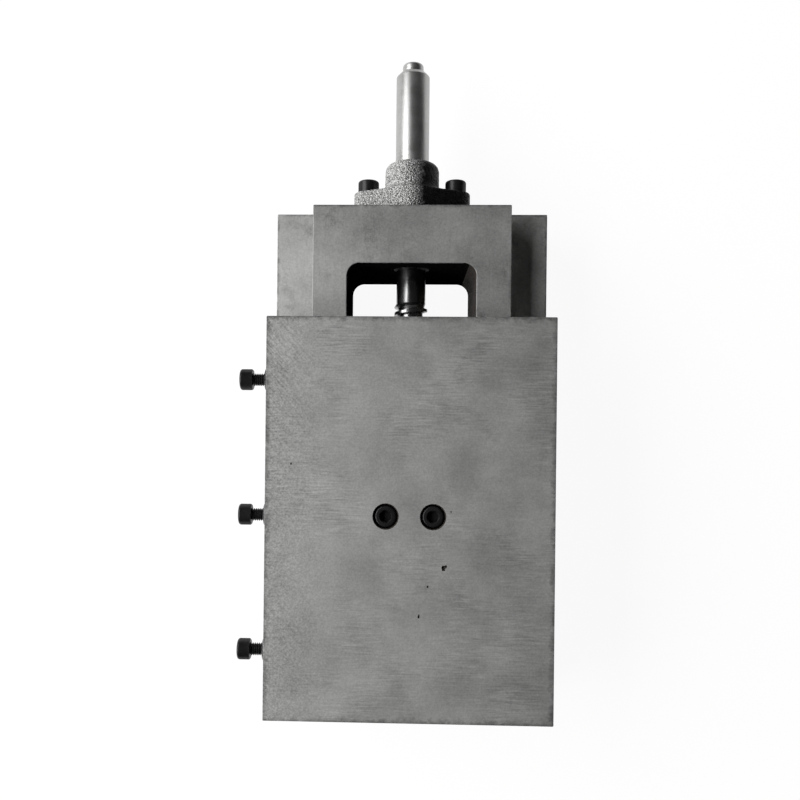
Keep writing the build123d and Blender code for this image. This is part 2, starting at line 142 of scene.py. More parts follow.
class ScrewSizes(bpy.types.PropertyGroup):
    """Sizes of the lead screw, its bearings' pocket and its bracket."""

    crest: in_mm("Crest", "Crest diameter of the thread", 16)
    root: in_mm("Root", "Root diameter of the thread", 11.5)
    pitch: in_mm("Pitch", "Pitch of the trapezoidal thread", 4)
    thread_start: in_mm("Thread start", "Where the thread starts, along Y", -29.7)
    thread_end: in_mm("Thread end", "Where the thread ends, along Y", -171.5)
    neck: in_mm("Neck", "Diameter between thread and bearings", 14)
    journal: in_mm("Journal", "Diameter in bearings and bush", 17)
    tail_journal: in_mm("Tail journal", "Diameter in the tail bush", 12)
    shaft: in_mm("Shaft", "Diameter of the drive shaft", 16)
    tip: in_mm("Tip", "Diameter of the shaft's tip", 10)
    boss: in_mm("Boss", "Diameter of the bracket's boss", 26)
    flange: in_mm("Flange", "Thickness of the bracket's flange", 10)
    turn_steps: IntProperty(name="Steps", description="Facets around a turned piece", default=72, min=12)


class FastenerSizes(bpy.types.PropertyGroup):
    """Sizes of the socket head cap screws and of the thin nuts."""

    thread: in_mm("Thread", "Diameter of the thread", 6)
    pitch: in_mm("Pitch", "Pitch of the thread", 1)
    thread_depth: in_mm("Thread depth", "From crest to root", 0.58)
    head: in_mm("Head", "Diameter of the head", 10)
    head_height: in_mm("Head height", "Height of the head", 6)
    socket: in_mm("Socket", "Socket across flats", 5)
    socket_depth: in_mm("Socket depth", "Depth of the socket", 3)
    knurl_steps: IntProperty(name="Knurl steps", description="Facets around the head", default=104, min=24)
    knurl_depth: in_mm("Knurl depth", "Depth of the straight knurl", 0.14)
    counterbore: in_mm("Counterbore", "Diameter of the sunk seats", 11)
    clearance_hole: in_mm("Clearance hole", "Diameter of the through holes", 6.6)
    nut_flats: in_mm("Nut", "Thin nut across flats", 10)


class Finishes(bpy.types.PropertyGroup):
    """Colours of the finishes, and of the shade painted in the window."""

    ground_iron: in_colour("Ground iron", "Ground cast iron", 0.485, 0.485, 0.478)
    rough_iron: in_colour("Rough iron", "Cast skin", 0.5, 0.5, 0.495)
    # Rusty window skin; also painted as shade in the base's bore mouths and the table's counterbores
    window_iron: in_colour("Window iron", "Cast skin inside the window", 0.045, 0.039, 0.035)
    # Near-black skin: painted shade on the window's faces that turn away from the lamp
    oily_iron: in_colour("Window shade", "Near-black cast skin, painted shade", 0.008, 0.008, 0.008)
    bright_steel: in_colour("Bright steel", "Turned steel", 0.47, 0.47, 0.465)
    # Darker than the bright steel: oil, and painted shade on the thread in the window
    oiled_steel: in_colour("Oiled, shaded steel", "Oily steel of the thread, darkened as painted shade", 0.32, 0.32, 0.32)
    grey_steel: in_colour("Grey steel", "Plain steel", 0.3, 0.3, 0.3)
    black_steel: in_colour("Black steel", "Blackened steel", 0.022, 0.022, 0.023)
    bronze: in_colour("Bronze", "Bearing bronze", 0.48, 0.27, 0.11)
    brass: in_colour("Brass", "Cage brass", 0.6, 0.43, 0.17)


class StageSettings(bpy.types.PropertyGroup):
    """Camera, lamp and sky."""

    camera_place: FloatVectorProperty(
        name="Camera", description="Place of the camera", subtype="TRANSLATION", unit="LENGTH",
        default=(-3.5 * MM, -100.2 * MM, 456.7 * MM))
    camera_roll: in_degrees("Roll", "Roll of the camera", 0.6)
    camera_yaw: in_degrees("Yaw", "Turn of the camera towards the left", 1.95)
    lens: FloatProperty(
        name="Lens", description="Focal length in millimetres on a 36 mm sensor", default=39.15)
    shift_x: FloatProperty(name="Shift X", description="Sideways shift of the lens", default=0.0344)
    shift_y: FloatProperty(name="Shift Y", description="Upward shift of the lens", default=0.0625)
    key_power: FloatProperty(name="Key power", description="Power of the soft box in watts", default=30.0)
    sky: FloatProperty(name="Sky", description="Level of the sky overhead", default=0.02)


def sizes(name):
    return getattr(bpy.context.scene, name)


def middle_of(name):
    """Middle of a node's box, as x, y and z."""
    low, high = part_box(name)
    return [(start + end) / 2 for start, end in zip(low, high)]


def half_width(name):
    low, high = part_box(name)
    return (high.x - low.x) / 2


# Helpers for modelling by hand
def set_mode(mode):
    bpy.ops.object.mode_set(mode=mode)


def select_mesh(action="SELECT"):
    bpy.ops.mesh.select_all(action=action)


def deselect_all():
    if bpy.context.object and bpy.context.object.mode != "OBJECT":
        set_mode("OBJECT")
    bpy.ops.object.select_all(action="DESELECT")


def make_active(piece):
    deselect_all()
    piece.select_set(True)
    bpy.context.view_layer.objects.active = piece


def place_in_mesh(piece):
    make_active(piece)
    bpy.ops.object.transform_apply(location=True, rotation=True, scale=True)


def place_new():
    """Puts the place of the primitive just added into its mesh."""
    piece = bpy.context.object
    place_in_mesh(piece)
    return piece


def draw_path(name, points):
    """A chain of edges, drawn vertex by vertex and left open in edit mode."""
    deselect_all()
    bpy.ops.mesh.primitive_plane_add(size=MM, location=points[0])
    path = bpy.context.object
    path.name = name
    set_mode("EDIT")
    bpy.ops.mesh.select_mode(type="VERT")
    select_mesh()
    bpy.ops.mesh.merge(type="CENTER")
    for start, end in zip(points, points[1:]):
        step = Vector(end) - Vector(start)
        bpy.ops.mesh.extrude_vertices_move(TRANSFORM_OT_translate={"value": step})
    return path


def pick(piece, kind, test):
    """In edit mode, selects only the vertices or edges that pass the test."""
    bpy.ops.mesh.select_mode(type=kind)
    select_mesh("DESELECT")
    mesh = bmesh.from_edit_mesh(piece.data)
    for part in mesh.verts if kind == "VERT" else mesh.edges:
        part.select = test(part)
    if kind == "VERT":
        mesh.select_flush(True)
    bmesh.update_edit_mesh(piece.data)


def weld_and_point_outwards():
    select_mesh()
    bpy.ops.mesh.remove_doubles(threshold=WELD)
    bpy.ops.mesh.normals_make_consistent(inside=False)


def prism(name, outline, depth):
    """Closed outline drawn and filled, then extruded by depth."""
    piece = draw_path(name, outline)
    pick(piece, "VERT", lambda vertex: len(vertex.link_edges) == 1)
    bpy.ops.mesh.edge_face_add()
    select_mesh()
    bpy.ops.mesh.edge_face_add()
    bpy.ops.mesh.extrude_region_move(TRANSFORM_OT_translate={"value": depth})
    weld_and_point_outwards()
    place_in_mesh(piece)
    return piece


def bar(name, outline, start, end):
    """Prism along Y from (x, z) points."""
    return prism(name, [(x, start, z) for x, z in outline], (0, end - start, 0))


def turn(name, outline, steps):
    """Turned piece about Z from (radius, height) points."""
    piece = draw_path(name, [(radius, 0, height) for radius, height in outline])
    select_mesh()
    bpy.ops.mesh.spin(steps=steps, angle=FULL_TURN, center=(0, 0, 0), axis=(0, 0, 1))
    weld_and_point_outwards()
    place_in_mesh(piece)
    return piece


def quarter_arc(steps):
    """Cosine and sine at the steps of a quarter turn."""
    angles = [QUARTER_TURN * index / steps for index in range(steps + 1)]
    return [(math.cos(angle), math.sin(angle)) for angle in angles]


def rounded(radius, height, size, steps):
    """Points of a rounded outer corner at (radius, height), from the side up to the top."""
    return [(radius - size + size * x, height - size + size * y) for x, y in quarter_arc(steps)]


def modify(piece, kind, **settings):
    """Adds a modifier with these settings and applies it."""
    make_active(piece)
    modifier = piece.modifiers.new(kind.title(), kind)
    for name, value in settings.items():
        setattr(modifier, name, value)
    bpy.ops.object.modifier_apply(modifier=modifier.name)


def combine(piece, other, operation):
    """Boolean of two pieces that uses up the second."""
    modify(piece, "BOOLEAN", operation=operation, solver="EXACT", object=other)
    bpy.data.objects.remove(other)


def block(middle, size):
    """Box of this size about its middle."""
    deselect_all()
    bpy.ops.mesh.primitive_cube_add(size=1, location=middle, scale=size)
    return place_new()


def rod(radius, start, end, steps=64):
    """Round cutter between two points."""
    start = Vector(start)
    end = Vector(end)
    span = end - start
    deselect_all()
    bpy.ops.mesh.primitive_cylinder_add(
        vertices=steps, radius=radius, depth=span.length, location=(start + end) / 2,
        rotation=span.to_track_quat("Z", "Y").to_euler())
    return place_new()


def drill(piece, radius, start, end, steps=64):
    combine(piece, rod(radius, start, end, steps), "DIFFERENCE")


def bore(piece, radius, start, end, x=0, steps=64):
    """Drills along Y at the height of the lead screw."""
    drill(piece, radius, (x, start, SCREW_LINE), (x, end, SCREW_LINE), steps)


def break_edges(piece, width):
    """Rounds every sharp edge."""
    modify(
        piece, "BEVEL", width=width, segments=2, limit_method="ANGLE", angle_limit=math.radians(30),
        use_clamp_overlap=False)


def smooth_by_angle(piece, angle=35):
    make_active(piece)
    bpy.ops.object.shade_smooth_by_angle(angle=math.radians(angle))


def keep_faces_flat(piece):
    """Smooths the rounded edges and keeps the large faces flat in the shading."""
    smooth_by_angle(piece, 50)
    modify(piece, "WEIGHTED_NORMAL", keep_sharp=True)


def join(pieces):
    """Joins pieces into the first and welds what meets."""
    make_active(pieces[0])
    for piece in pieces[1:]:
        piece.select_set(True)
    bpy.ops.object.join()
    set_mode("EDIT")
    weld_and_point_outwards()
    set_mode("OBJECT")
    return pieces[0]


def copy_of(piece):
    twin = piece.copy()
    twin.data = piece.data.copy()
    bpy.context.scene.collection.objects.link(twin)
    return twin


def put(piece, turned, place):
    """Turns a piece and moves it to its place, both into its mesh."""
    piece.rotation_euler = turned
    piece.location = place
    place_in_mesh(piece)


def settle(piece, name, node, slot, *materials):
    """Names a finished piece, gives it its finish and lets it stand for its node."""
    place_in_mesh(piece)
    piece.name = name
    piece.data.name = name
    piece.data.materials.clear()
    for material in materials:
        piece.data.materials.append(MATERIALS[material])
    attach(piece, frame["nodes"][node]["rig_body"])
    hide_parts(node)


def paint_by_place(piece, number, test):
    """Gives the faces whose centre and normal pass the test the material slot of that number."""
    for face in piece.data.polygons:
        if test(face.center, face.normal):
            face.material_index = number


def thread(name, profile, pitch, low, high, steps, outer, inner):
    """Threaded surface about Z from one turn's (radius, height) profile.

    outer and inner give the largest and smallest radius at a height; they meet at both ends,
    where the rings close.
    """
    first = low - pitch
    turns = math.ceil((high - low) / pitch) + 3
    surface = draw_path(name, [(radius, 0, first + height) for radius, height in profile])
    place_in_mesh(surface)
    modify(
        surface, "SCREW", axis="Z", angle=FULL_TURN, screw_offset=pitch, iterations=turns,
        steps=steps, render_steps=steps, use_merge_vertices=False)
    for vertex in surface.data.vertices:
        height = min(max(vertex.co.z, low), high)
        radius = math.hypot(vertex.co.x, vertex.co.y)
        wanted = min(max(radius, inner(height)), outer(height))
        vertex.co.x *= wanted / radius
        vertex.co.y *= wanted / radius
        vertex.co.z = height
    set_mode("EDIT")
    weld_and_point_outwards()
    bpy.ops.mesh.dissolve_degenerate(threshold=WELD)
    set_mode("OBJECT")
    return surface


def close_rings():
    """Fills every open ring of the active piece."""
    set_mode("EDIT")
    bpy.ops.mesh.select_mode(type="EDGE")
    select_mesh("DESELECT")
    bpy.ops.mesh.select_non_manifold()
    bpy.ops.mesh.edge_face_add()
    weld_and_point_outwards()
    set_mode("OBJECT")


# Shader nodes
def feed(tree, value, socket):
    """Links a socket to another node's output, or sets it to a plain value."""
    if isinstance(value, bpy.types.NodeSocket):
        tree.links.new(value, socket)
    else:
        socket.default_value = value


def add_node(tree, kind, *inputs, **settings):
    """New shader node with these settings; inputs are fed in order, and None leaves one as it is."""
    node = tree.nodes.new("ShaderNode" + kind)
    for name, value in settings.items():
        setattr(node, name, value)
    for socket, value in zip(node.inputs, inputs):
        if value is not None:
            feed(tree, value, socket)
    return node


def object_place(tree):
    return add_node(tree, "TexCoord").outputs["Object"]


def noise(tree, place, scale, detail, roughness):
    return add_node(tree, "TexNoise", place, None, scale, detail, roughness).outputs[0]


def remap(tree, value, low, high, out_low=0.0, out_high=1.0):
    return add_node(tree, "MapRange", value, low, high, out_low, out_high).outputs[0]


def arithmetic(tree, operation, first, second=0.5, third=0.5):
    return add_node(tree, "Math", first, second, third, operation=operation).outputs[0]


def vectors(tree, operation, first, second, output="Vector"):
    return add_node(tree, "VectorMath", first, second, operation=operation).outputs[output]


def scaled(tree, colour, factor):
    return add_node(tree, "VectorMath", colour, None, None, factor, operation="SCALE").outputs["Vector"]


def coordinates(tree, vector):
    return add_node(tree, "SeparateXYZ", vector).outputs


def faded(tree, value, share):
    """Brings a value closer to one half where the share is below 1."""
    return arithmetic(tree, "MULTIPLY_ADD", arithmetic(tree, "SUBTRACT", value, 0.5), share, 0.5)


def new_group(name, inputs, outputs):
    """Group with inputs given by name and first value; also its inner ends."""
    group = bpy.data.node_groups.new(name, "ShaderNodeTree")
    for label, value in inputs.items():
        kind = "NodeSocketVector" if isinstance(value, tuple) else "NodeSocketFloat"
        group.interface.new_socket(name=label, in_out="INPUT", socket_type=kind).default_value = value
    for label in outputs:
        group.interface.new_socket(name=label, in_out="OUTPUT", socket_type="NodeSocketFloat")
    return group, group.nodes.new("NodeGroupInput").outputs, group.nodes.new("NodeGroupOutput").inputs


def give_out(group, outside, *values):
    """Feeds the group's outputs in order."""
    for value, socket in zip(values, outside):
        group.links.new(value, socket)
    return group


def grinding_group():
    """Short grinding lines in patches, broad blotches, fine specks and smudges of a ground face."""
    group, inside, outside = new_group(
        "Grinding marks", {"Stretch": (1.0, 1.0, 1.0), "Blotch size": 30.0},
        ("Lines", "Blotches", "Specks", "Smudges"))
    place = object_place(group)
    patch = remap(group, noise(group, place, 38.0, 2.0, 0.5), 0.4, 0.62, 0.15, 1.0)
    stretched = vectors(group, "MULTIPLY", place, inside["Stretch"])
    lines = noise(group, stretched, 1.0, 5.0, 0.65)
    blotches = noise(group, place, inside["Blotch size"], 5.0, 0.55)
    specks = noise(group, place, 1300.0, 2.0, 0.5)
    smudges = noise(group, place, 75.0, 5.0, 0.68)
    return give_out(
        group, outside,
        faded(group, remap(group, lines, 0.3, 0.7), patch),
        remap(group, blotches, 0.32, 0.68),
        remap(group, specks, 0.3, 0.7),
        remap(group, smudges, 0.56, 0.74, 0.5, 0.0))


def evenness_group():
    """Painted light and shade: a slow change of tone along a casting, from its rise per metre along X, Y and
    Z; 0.7 at most.
    """
    group, inside, outside = new_group(
        "Painted light gradient", {"Middle": (0.0, 0.0, 0.0), "Rise": (0.0, 0.0, 0.0)}, ("Value",))
    gap = vectors(group, "SUBTRACT", object_place(group), inside["Middle"])
    along = vectors(group, "DOT_PRODUCT", gap, inside["Rise"], "Value")
    return give_out(
        group, outside, arithmetic(group, "MINIMUM", arithmetic(group, "ADD", along, 0.5), 0.7))


def cast_group():
    """Grain of a sand-cast skin."""
    group, inside, outside = new_group("Cast grain", {"Grain": 1200.0}, ("Height", "Speckle"))
    place = object_place(group)
    coarse = noise(group, place, inside["Grain"], 3.0, 0.6)
    lumps = add_node(group, "TexVoronoi", place, None, inside["Grain"], feature="SMOOTH_F1")
    return give_out(
        group, outside,
        arithmetic(group, "MULTIPLY_ADD", lumps.outputs["Distance"], -0.6, coarse),
        remap(group, coarse, 0.35, 0.65))


def rim_group():
    """Dark soiled rim along the upper edges of a box: 1 at the edges, 0 further in and further down."""
    group, inside, outside = new_group(
        "Soiled rim", {"Low": (0.0, 0.0, 0.0), "High": (1.0, 1.0, 1.0), "Reach": 0.004}, ("Mask",))
    place = object_place(group)
    from_low = coordinates(group, vectors(group, "SUBTRACT", place, inside["Low"]))
    from_high = coordinates(group, vectors(group, "SUBTRACT", inside["High"], place))
    nearest = arithmetic(
        group, "MINIMUM", arithmetic(group, "MINIMUM", from_low[0], from_low[1]),
        arithmetic(group, "MINIMUM", from_high[0], from_high[1]))
    edge = remap(group, nearest, 0.0, inside["Reach"], 0.42, 0.0)
    downwards = arithmetic(group, "DIVIDE", from_high[2], inside["Reach"])
    ragged = arithmetic(group, "MULTIPLY_ADD", noise(group, place, 260.0, 5.0, 0.7), 0.8, edge)
    return give_out(group, outside, arithmetic(
        group, "MULTIPLY", remap(group, ragged, 0.62, 0.86), remap(group, downwards, 0.1, 1.2, 1.0, 0.0)))


def scratch_group():
    """Slanted scratches and wear in one corner of a top face, where X is low and Y is high."""
    group, inside, outside = new_group(
        "Scratched corner", {"Corner": (0.0, 0.0, 0.0), "Reach": 0.03, "Slant": 0.85},
        ("Scratches", "Wear"))
    place = object_place(group)
    turned = add_node(group, "VectorRotate", place, None, None, inside["Slant"], rotation_type="Z_AXIS")
    stretched = vectors(group, "MULTIPLY", turned.outputs[0], (60.0, 1500.0, 200.0))
    lines = remap(group, noise(group, stretched, 1.0, 2.0, 0.5), 0.35, 0.65)
    right, back, up = coordinates(group, vectors(group, "SUBTRACT", place, inside["Corner"]))
    side = remap(group, right, 0.0, inside["Reach"], 1.0, 0.0)
    wear = arithmetic(group, "MULTIPLY", side, remap(group, up, -3 * MM, -0.5 * MM))
    near = remap(group, arithmetic(group, "DIVIDE", back, inside["Reach"]), -2.2, -0.6, 0.25, 1.0)
    return give_out(
        group, outside, faded(group, lines, arithmetic(group, "MULTIPLY", wear, near)), wear)


def painted_right_shade(tree):
    """1 on the bracket's lit left side, falling to 0 on its right side, where shade is painted."""
    place = object_place(tree)
    ragged = noise(tree, place, 300.0, 3.0, 0.6)
    across = arithmetic(tree, "MULTIPLY_ADD", ragged, 6 * MM, coordinates(tree, place)[0])
    return remap(tree, across, 1 * MM, 9 * MM, 1.0, 0.0)


# Materials
MATERIALS = {}
GROUPS = {}


def new_material(name):
    """New material, its nodes and its shader's inputs."""
    material = bpy.data.materials.new(name)
    material.use_nodes = True
    return material, material.node_tree, material.node_tree.nodes["Principled BSDF"].inputs


def use_group(tree, group, **values):
    """Outputs of a group placed with these values."""
    node = add_node(tree, "Group", node_tree=GROUPS[group])
    for name, value in values.items():
        node.inputs[name.replace("_", " ").capitalize()].default_value = value
    return node.outputs


def shaded(tree, colour, amounts):
    """The colour, made lighter or darker by values around one half; amounts pairs value and strength."""
    level = 1.0 - sum(strength for _, strength in amounts) / 2
    for value, strength in amounts:
        level = arithmetic(tree, "MULTIPLY_ADD", value, strength, level)
    return scaled(tree, colour, level)


def add_bump(tree, shader, height, distance):
    bump = add_node(tree, "Bump")
    bump.inputs["Distance"].default_value = distance
    tree.links.new(height, bump.inputs["Height"])
    tree.links.new(bump.outputs[0], shader["Normal"])


def ground_iron(name, stretch, rim, middle, rise, lined, blotched, smudged, corner=None):
    """Ground cast iron with lines along the grinding direction, blotches, smudges, a soiled rim and a painted
    gradient of light and shade.
    """
    material, tree, shader = new_material(name)
    lines, blotches, specks, smudges = use_group(tree, "grinding", Stretch=stretch, Blotch_size=50.0)
    # Painted light and shade: the tone rises and falls slowly along the casting
    painted_light, = use_group(tree, "evenness", Middle=middle, Rise=rise)
    amounts = [(lines, lined), (blotches, blotched), (specks, 0.2), (smudges, smudged), (painted_light, 1.0)]
    if corner:
        scratches, wear = use_group(tree, "scratch", Corner=corner)
        amounts += [(scratches, 0.3), (faded(tree, specks, wear), 0.3)]
    low, high, reach = rim
    soil, = use_group(tree, "rim", Low=low, High=high, Reach=reach)
    tone = shaded(tree, tuple(sizes("slide_finishes").ground_iron), amounts)
    soiled = scaled(tree, tone, remap(tree, soil, 0.0, 1.0, 1.0, 0.5))
    rough = arithmetic(tree, "MULTIPLY_ADD", blotches, 0.06, 0.61)
    rough = arithmetic(tree, "MULTIPLY_ADD", lines, 0.04, rough)
    feed(tree, soiled, shader["Base Color"])
    feed(tree, 0.95, shader["Metallic"])
    feed(tree, rough, shader["Roughness"])
    add_bump(tree, shader, lines, 0.012 * MM)
    return material


def cast_iron(name, colour, grain=500.0, depth=0.9 * MM, metallic=0.0, roughness=0.6, gloss=0.25,
              speckled=0.6, right_shade_level=1.0):
    """Rough cast skin; the right-side level is how light its right side is painted against its left, as
    painted shade.
    """
    material, tree, shader = new_material(name)
    height, speckle = use_group(tree, "cast", Grain=grain)
    tone = shaded(tree, tuple(colour), [(speckle, speckled)])
    # Painted shade: the colour darkens towards the right side
    if right_shade_level < 1:
        tone = scaled(tree, tone, remap(tree, painted_right_shade(tree), 0.0, 1.0, right_shade_level, 1.0))
    rough = arithmetic(tree, "MULTIPLY_ADD", speckle, 0.2, roughness - 0.1)
    feed(tree, tone, shader["Base Color"])
    feed(tree, metallic, shader["Metallic"])
    feed(tree, gloss, shader["Specular IOR Level"])
    feed(tree, rough, shader["Roughness"])
    add_bump(tree, shader, height, depth)
    return material


def machined(name, colour, roughness, stretch=(400.0, 400.0, 400.0), metallic=1.0):
    """Turned or drawn metal with fine marks across its stretch."""
    material, tree, shader = new_material(name)
    lines, blotches, specks, _ = use_group(tree, "grinding", Stretch=stretch, Blotch_size=120.0)
    tone = shaded(tree, tuple(colour), [(lines, 0.12), (blotches, 0.16), (specks, 0.1)])
    rough = arithmetic(tree, "MULTIPLY_ADD", blotches, 0.12, roughness - 0.06)
    feed(tree, tone, shader["Base Color"])
    feed(tree, metallic, shader["Metallic"])
    feed(tree, rough, shader["Roughness"])
    add_bump(tree, shader, lines, 0.006 * MM)
    return material


def make_materials():
    finish = sizes("slide_finishes")
    GROUPS.update(
        grinding=grinding_group(), cast=cast_group(), rim=rim_group(), scratch=scratch_group(),
        evenness=evenness_group())
    across = (110.0, 1500.0, 400.0)
    along = (1200.0, 80.0, 400.0)
    turned = (60.0, 1500.0, 60.0)
    ledge_corner = Vector((BASE_HIGH.x, BASE_HIGH.y, sizes("slide_bodies").ledge_height))
    base_middle = Vector((0, (BASE_LOW.y + BASE_HIGH.y) / 2, BASE_HIGH.z))
    MATERIALS.update(
        # The rises paint light and shade: the table gets lighter towards +X and -Y; the base gets lighter
        # towards -X and -Y, and its low ledges lighter than its rail's top
        table=ground_iron(
            "Ground iron of the table", across, (TABLE_LOW, TABLE_HIGH, 5 * MM),
            (TABLE_LOW + TABLE_HIGH) / 2, (0.6, -0.6, 0.0), lined=0.45, blotched=0.22, smudged=0.3,
            corner=Vector((TABLE_LOW.x, TABLE_HIGH.y, TABLE_HIGH.z))),
        base=ground_iron(
            "Ground iron of the base", along, (BASE_LOW, ledge_corner, 2.5 * MM), base_middle,
            (-1.3, -1.6, -11.0), lined=0.18, blotched=0.3, smudged=0.7),
        gib=machined("Ground steel of the gib", finish.grey_steel, 0.32, along),
        # The bracket's right side is painted almost black, as painted shade
        cast=cast_iron(
            "Cast skin of the bracket, with painted shade on its right", finish.rough_iron, grain=1400.0, depth=0.8 * MM,
            metallic=0.93, roughness=0.48, speckled=1.3, right_shade_level=0.015),
        window=cast_iron("Rusty skin of the window", finish.window_iron, roughness=0.9, gloss=0.1),
        oily=cast_iron("Painted shade in the window", finish.oily_iron, roughness=0.8, gloss=0.0),
        shaft=machined("Bright turned steel", finish.bright_steel, 0.4, turned, metallic=0.9),
        oiled=machined("Oiled thread steel, darkened as painted shade", finish.oiled_steel, 0.24, turned),
        nut=machined("Grey nut steel", finish.grey_steel, 0.4),
        black=machined("Blackened steel", finish.black_steel, 0.36, metallic=0.5),
        bronze=machined("Turned bronze", finish.bronze, 0.32, turned),
        brass=machined("Cage brass", finish.brass, 0.35),
        bearing=machined("Bearing steel", finish.bright_steel, 0.15, turned),
    )


# Castings
def rail_half_width(height):
    """Half-width of the rail at a height."""
    body = sizes("slide_bodies")
    return body.rail_top_width / 2 - (BASE_HIGH.z - height) / math.tan(body.dovetail_angle)


def level_width(thickness):
    """Level width of a strip that lies along the sloping flank."""
    return thickness / math.sin(sizes("slide_bodies").dovetail_angle)


class SLIDE_OT_base_casting(bpy.types.Operator):
    """Base casting with its ledges, dovetail rail, window and bores"""

    bl_idname = "slide_table.base_casting"
    bl_label = "Base casting"

    def execute(self, context):
        body = sizes("slide_bodies")
        thread_bore = sizes("slide_fasteners").thread / 2 + BORE_PLAY
        half = BASE_HIGH.x
        ledge = body.ledge_height
        neck = rail_half_width(ledge)
        groove = ledge - body.relief_depth
        blunt = 0.5 * MM
        top = body.rail_top_width / 2 - blunt
        right = [
            (half, 0), (half, ledge), (neck + body.relief_width, ledge), (neck + body.relief_width, groove),
            (neck, groove), (neck, ledge), (top, BASE_HIGH.z - blunt * math.tan(body.dovetail_angle)),
            (top, BASE_HIGH.z)]
        outline = right + [(-x, z) for x, z in reversed(right)]
        piece = bar("base", outline, BASE_LOW.y, BASE_HIGH.y)

        window_low = BASE_LOW.y + body.end_wall
        window_high = BASE_HIGH.y - body.end_wall
        window = block(
            (0, (window_low + window_high) / 2, BASE_HIGH.z / 2),
            (body.window_width, window_high - window_low, BASE_HIGH.z * 1.2))
        set_mode("EDIT")

        def upright(edge):
            direction = edge.verts[0].co - edge.verts[1].co
            return abs(direction.z) > direction.xy.length

        pick(window, "EDGE", upright)
        bpy.ops.mesh.bevel(offset=body.window_corner, segments=10, affect="EDGES")
        set_mode("OBJECT")
        combine(piece, window, "DIFFERENCE")

        pocket = half_width("outer_housing_washer") + SEAT_PLAY
        bore(piece, pocket, POCKET_FLOOR, BASE_HIGH.y + PAST)
        bore(piece, sizes("slide_screw").journal / 2 + BORE_PLAY, window_high - PAST, POCKET_FLOOR + PAST)
        bore(piece, half_width("tail_bush") + SEAT_PLAY, BASE_LOW.y - PAST, window_low + PAST)
        for name in BRACKET_SCREWS:
            bore(piece, thread_bore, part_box(name)[0].y - PAST, BASE_HIGH.y + PAST, middle_of(name)[0], 32)
        break_edges(piece, body.edge_break)
        keep_faces_flat(piece)
        settle(piece, "base_casting_ground", "base_casting", "ground_cast_iron", "base", "window", "oily")
        margin = 0.05 * MM
        reach = body.window_width / 2 + margin
        mouth = 14 * MM

        def inside_window(centre, normal):
            within = abs(centre.x) < reach and window_low - margin < centre.y < window_high + margin
            near_line = math.hypot(centre.x, centre.z - SCREW_LINE) < mouth
            in_bore = near_line and window_low - MM < centre.y < window_high + MM
            return in_bore or within and abs(normal.z) < 0.5

        def facing_away(centre, normal):
            return inside_window(centre, normal) and normal.x > -0.4

        # The window's faces get the rusty skin; in the bore mouths it is painted shade
        paint_by_place(piece, 1, inside_window)
        # Painted shade: the window's faces and bore mouths that turn away from the lamp get the near-black
        # skin
        paint_by_place(piece, 2, facing_away)
        return {"FINISHED"}


class SLIDE_OT_slide_table(bpy.types.Operator):
    """Slide table with its dovetail, sunk screw seats and casting pores"""

    bl_idname = "slide_table.slide_table"
    bl_label = "Slide table"

    def execute(self, context):
        body = sizes("slide_bodies")
        fastener = sizes("slide_fasteners")
        half = TABLE_HIGH.x
        top = TABLE_HIGH.z
        foot = TABLE_LOW.z
        roof = top - body.web_thickness
        groove = roof + body.relief_depth
        play = level_width(body.way_clearance)
        gib_space = level_width(body.gib_thickness + body.gib_back_gap)
        right_foot = rail_half_width(foot) + play
        right_root = rail_half_width(roof) + play
        left_root = right_root + gib_space
        outline = [
            (right_foot, foot), (half, foot), (half, top), (-half, top), (-half, foot),
            (-right_foot - gib_space, foot), (-left_root, roof), (-left_root, groove),
            (body.relief_width - left_root, groove), (body.relief_width - left_root, roof),
            (right_root - body.relief_width, roof), (right_root - body.relief_width, groove),
            (right_root, groove), (right_root, roof)]
        piece = bar("table", outline, TABLE_LOW.y, TABLE_HIGH.y)
        for name in NUT_SCREWS:
            x, y, _ = middle_of(name)
            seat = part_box(name)[1].z - fastener.head_height
            drill(piece, fastener.counterbore / 2, (x, y, seat), (x, y, top + PAST))
            drill(piece, fastener.clearance_hole / 2, (x, y, roof - PAST), (x, y, seat + PAST), 48)
        for name in GIB_SCREWS:
            _, y, z = middle_of(name)
            drill(piece, fastener.thread / 2 + BORE_PLAY, (-half - PAST, y, z), (0, y, z), 32)
        break_edges(piece, body.edge_break)
        for x, y, radius in CASTING_PORES:
            deselect_all()
            bpy.ops.mesh.primitive_ico_sphere_add(
                subdivisions=2, radius=radius * MM, location=(x * MM, y * MM, top), scale=(1, 1.3, 0.9))
            pore = place_new()
            set_mode("EDIT")
            select_mesh()
            bpy.ops.transform.vertex_random(offset=radius * 0.25 * MM, seed=int(radius * 100))
            set_mode("OBJECT")
            combine(piece, pore, "DIFFERENCE")
        keep_faces_flat(piece)
        settle(piece, "slide_table_ground", "slide_table", "ground_cast_iron", "table", "window")
        seats = [middle_of(name) for name in NUT_SCREWS]
        seat_reach = fastener.counterbore / 2 + 0.6 * MM

        def inside_pore(centre, normal):
            sunk = 0.02 * MM < top - centre.z < 1.5 * MM and abs(centre.x) <= 60 * MM
            return sunk and any(
                math.hypot(centre.x - x * MM, centre.y - y * MM) < 1.8 * radius * MM
                for x, y, radius in CASTING_PORES)

        def in_counterbore(centre, normal):
            return centre.z < top - 0.05 * MM and abs(normal.z) < 0.97 and any(
                math.hypot(centre.x - x, centre.y - y) < seat_reach for x, y, _ in seats)

        # The pores' insides get the dark window skin
        paint_by_place(piece, 1, inside_pore)
        # Painted shade: the counterbore walls get the dark window skin
        paint_by_place(piece, 1, in_counterbore)
        return {"FINISHED"}


